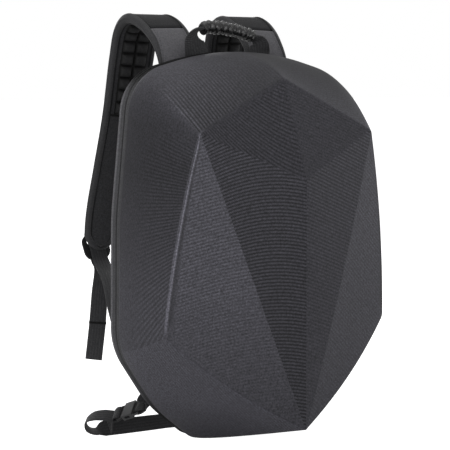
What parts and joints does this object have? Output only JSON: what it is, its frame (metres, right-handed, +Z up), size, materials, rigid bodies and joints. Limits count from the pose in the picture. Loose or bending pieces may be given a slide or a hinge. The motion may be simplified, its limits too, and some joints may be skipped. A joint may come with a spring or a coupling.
{
  "type": "motorcycle backpack",
  "caption": "Motorcycle backpack with a hollow faceted shell zipped to a padded back, cushioned shoulder straps, adjuster webbing, a top handle and a buckled waist belt.",
  "frame": {"origin": "middle of the back pad's rear face, where the bag lies against the wearer's back", "axes": "+X to the right of someone facing the shell, +Y from the shell towards the wearer, +Z up"},
  "size_m": [0.3418, 0.3608, 0.5419],
  "materials": {
    "shell_fabric": "coarse woven cloth moulded over a stiff shell",
    "zip_tape": "woven tape",
    "zip_coil": "satin coil",
    "piping": "woven cover over a cord",
    "back_cloth": "plain cloth",
    "back_mesh": "padded mesh",
    "yoke_cloth": "smooth cloth",
    "strap_cloth": "woven cloth over foam",
    "strap_mesh": "cushioned mesh cells",
    "binding_tape": "ribbed binding tape",
    "webbing": "ribbed webbing",
    "grip_sleeve": "gathered sleeve with a slight sheen",
    "black_plastic": "satin moulded",
    "slider_metal": "black"
  },
  "bodies": {
    "root": {"shell": "shell_fabric", "zip_tape_front": "zip_tape", "zip_coil": "zip_coil", "zip_tape_rear": "zip_tape", "rim_piping": "piping", "back_panel": "back_cloth", "back_pad": "back_mesh", "zip_slider": "slider_metal", "strap_yoke_right": "yoke_cloth", "strap_yoke_left": "yoke_cloth", "strap_pad_right": "strap_cloth", "strap_pad_left": "strap_cloth", "strap_lining_right": "strap_mesh", "strap_lining_left": "strap_mesh", "strap_binding_right": "binding_tape", "strap_binding_left": "binding_tape", "lock_loop_right": "webbing", "lock_loop_left": "webbing", "ladder_lock_right": "black_plastic", "ladder_lock_left": "black_plastic", "adjuster_right": "webbing", "adjuster_left": "webbing", "handle_webbing": "webbing", "handle_grip": "grip_sleeve", "buckle_socket": "black_plastic", "buckle_plug": "black_plastic", "belt_left": "webbing", "belt_right": "webbing"}
  },
  "joints": []
}
